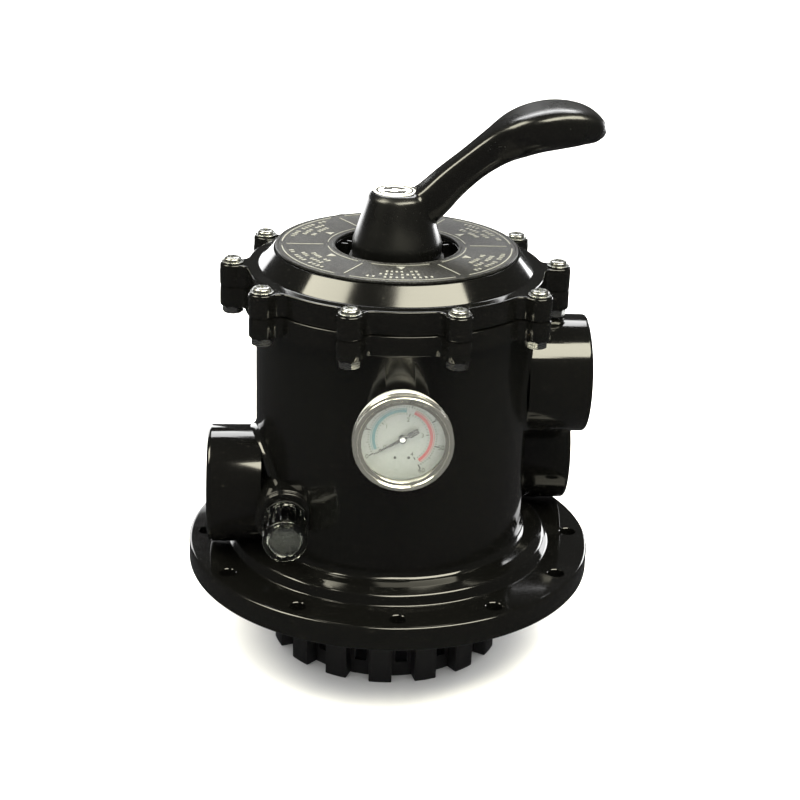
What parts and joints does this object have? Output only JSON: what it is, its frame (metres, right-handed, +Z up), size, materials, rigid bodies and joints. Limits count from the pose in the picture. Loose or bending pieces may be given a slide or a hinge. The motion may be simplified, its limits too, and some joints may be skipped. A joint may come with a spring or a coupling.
{
  "type": "multiport valve",
  "caption": "Top-mount selector valve for a sand filter tank: lever-turned rotor, three ports, pressure gauge, sight glass and diffuser.",
  "frame": {"origin": "middle of the diffuser's underside, on the valve's axis", "axes": "+Z up along the valve's axis, +X out of the pump port, -Y out of the pressure gauge's face"},
  "size_m": [0.23, 0.23, 0.3143],
  "materials": {
    "moulded_black": "gloss",
    "satin_black": "satin",
    "label_grey": "satin",
    "rubber": "matte",
    "steel": "satin",
    "acetal": "satin",
    "badge_white": "gloss",
    "brass": "satin",
    "chrome": "polished",
    "clear_lens": "polished",
    "clear_cup": "polished",
    "dial_white": "satin",
    "needle_black": "matte"
  },
  "bodies": {
    "body": {"valve_body": "moulded_black", "diffuser_basket": "satin_black", "lid": "moulded_black", "label_plate": "label_grey", "lid_seal": "rubber", "spider_gasket": "rubber", "slip_washer": "acetal", "thrust_washer": "acetal", "gauge_stem": "brass", "gauge_seal": "rubber", "gauge_case": "chrome", "gauge_bezel": "chrome", "gauge_lens": "clear_lens", "gauge_dial": "dial_white", "gauge_pressure_tube": "brass", "gauge_movement": "brass", "sight_glass_seal": "rubber", "sight_glass_cup": "clear_cup", "lid_bolt_01": "steel", "lid_nut_01": "steel", "lid_bolt_02": "steel", "lid_nut_02": "steel", "lid_bolt_03": "steel", "lid_nut_03": "steel", "lid_bolt_04": "steel", "lid_nut_04": "steel", "lid_bolt_05": "steel", "lid_nut_05": "steel", "lid_bolt_06": "steel", "lid_nut_06": "steel", "lid_bolt_07": "steel", "lid_nut_07": "steel", "lid_bolt_08": "steel", "lid_nut_08": "steel", "lid_bolt_09": "steel", "lid_nut_09": "steel", "lid_bolt_10": "steel", "lid_nut_10": "steel"},
    "selector": {"rotor_spring": "steel"},
    "rotor": {"rotor": "moulded_black", "stem": "moulded_black", "drive_pin": "steel", "stem_seal_1": "rubber", "stem_seal_2": "rubber", "lever_pin": "steel"},
    "handle": {"lever_handle": "moulded_black", "handle_badge": "badge_white"},
    "needle": {"gauge_needle": "needle_black"}
  },
  "joints": [
    {"name": "selector_turn", "type": "hinge", "parent": "body", "child": "selector", "pos_m": [0, 0, 0.2], "axis": [0, 0, 1], "continuous": true},
    {"name": "rotor_lift", "type": "slide", "parent": "selector", "child": "rotor", "axis": [0, 0, 1], "range_m": [0, 0.00601], "deforming": ["rotor_spring"]},
    {"name": "handle_press", "type": "hinge", "parent": "rotor", "child": "handle", "pos_m": [0, 0, 0.2436], "axis": [0, 1, 0], "range_deg": [0, 20], "stiffness_Nm_per_rad": 3, "springref_deg": -17.19},
    {"name": "needle_turn", "type": "hinge", "parent": "body", "child": "needle", "pos_m": [0, -0.097, 0.1617], "axis": [0, 1, 0], "range_deg": [0, 270]}
  ],
  "couplings": [
    {"joint": "rotor_lift", "follows": "handle_press", "m_per_rad": 0.0172}
  ]
}
